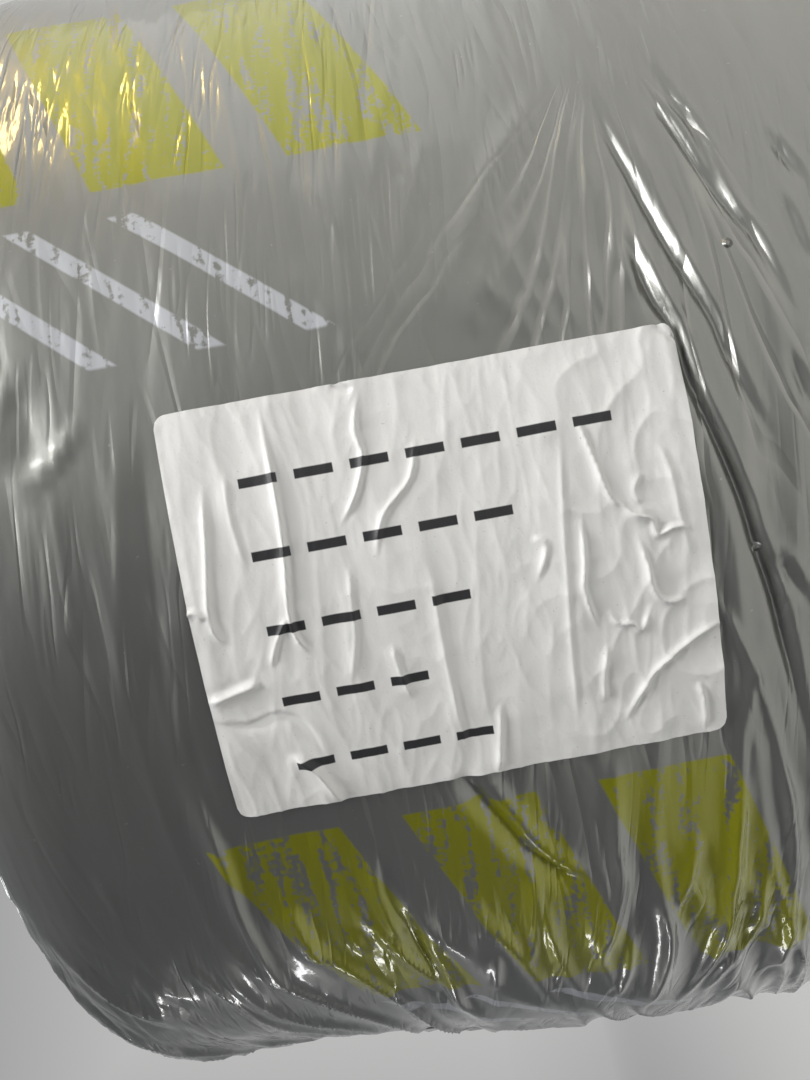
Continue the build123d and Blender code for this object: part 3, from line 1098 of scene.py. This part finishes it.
# %% The wool's two halves, with their spiral and torn felt
def wool_half(flip, seed):
    """Points of one half of the wool, from the bore's middle to the side's middle."""
    gap_half_width = 2.2
    turned = np.linspace(0, 2 * math.pi, wool_columns, endpoint=False)
    radius, around = np.meshgrid(wool_profile[:, 0], turned, indexing="ij")
    depth = np.repeat(wool_profile[:, 1][:, None], wool_columns, 1)
    round_mm = around * girth / (2 * math.pi)
    # A spiral: how far each point is across its turn, from 0 at one gap to 1 at the next
    in_turn = ((radius - bore_radius) / turn_width - around / (2 * math.pi)) % 1
    gap = np.exp(-(np.minimum(in_turn, 1 - in_turn) * turn_width / gap_half_width) ** 2)
    crown = 4 * in_turn * (1 - in_turn)
    tufts = soft_noise(radius, round_mm, 9, 60, seed)
    rough = tufts + 0.7 * soft_noise(radius, round_mm, 3.5, 22, seed + 1)
    layers = ridges(radius, round_mm, 5, 150, seed + 2)
    end = np.zeros_like(radius)
    end[first_end_row:last_end_row] = 1
    end *= ease((wool_shown_radius + 2 - radius) / 8)
    depth = depth + end * (4.5 - 4 * crown + 6 * gap - 1.3 * rough - 0.9 * layers - 1)
    in_bore = np.zeros_like(radius)
    in_bore[:first_end_row + 1] = 1
    radius = radius + in_bore * (0.9 * soft_noise(depth, round_mm, 20, 120, seed + 3) - 0.4)
    return stand_up(radius, around, depth if flip else top - depth).reshape(-1, 3)


def wool_faces(first_row, flip):
    """Quads between neighbouring rows of a half, closed round the roll and facing outward."""
    cells = np.mgrid[first_row:first_row + half_rows - 1, 0:wool_columns]
    faces = quads(*cells, lambda row, column: row * wool_columns + column % wool_columns)
    return (faces[:, ::-1] if flip else faces).tolist()


# %% [markdown]
# Rock wool is spun from melted stone and matted into felt with a little binder, which browns
# it. It has no gloss at all: the eye sees pale tufts about 9 mm across, with dark hollows
# between them, and a tangle of strands. The colour follows the bump's height, so the dark
# of the hollows is painted shade over the felt's own uneven tone. Real strands are a few
# thousandths of a millimetre thick, so they are drawn as twisted noise of 1.4 mm.

# %% The wool's material
wool_material, tree = new_material("matted_rock_wool")
own = add(tree, "TexCoord").outputs["Object"]
tufts = {"Vector": own, "Scale": 1 / (9 * mm), "Detail": 6.0, "Roughness": 0.65}
strands = {"Vector": own, "Scale": 1 / (1.4 * mm), "Detail": 5.0, "Distortion": 2.5}
tuft_share = add(tree, "Math", [add(tree, "TexNoise", tufts), 0.55], operation="MULTIPLY")
shade = add(tree, "Math", [add(tree, "TexNoise", strands), 0.45, tuft_share], operation="MULTIPLY_ADD")
# The same noise makes the colour and the bump, so the colour is darker in the bump's hollows: painted
# shade.
tone_and_shade = add(tree, "ValToRGB", [shade])
shaded_hollow, crest = tone_and_shade.color_ramp.elements
shaded_hollow.position, shaded_hollow.color = 0.36, linear("#4a4028")
crest.position, crest.color = 0.64, linear("#a59770")
matted = add(tree, "Bump", {"Height": shade, "Strength": 1.0, "Distance": 3 * mm})
felt = add(tree, "BsdfPrincipled", {"Base Color": tone_and_shade, "Roughness": 0.95, "Normal": matted})
add(tree, "OutputMaterial", [felt])
print("The wool's material has", len(tree.nodes), "nodes")

# %% Make the wool
wool_points = np.vstack([wool_half(False, 41), wool_half(True, 51)])
wool_quads = wool_faces(0, False) + wool_faces(half_rows, True)
wool = new_piece("rolled_rock_wool", wool_points, wool_quads, wool_material, "wool_blanket")
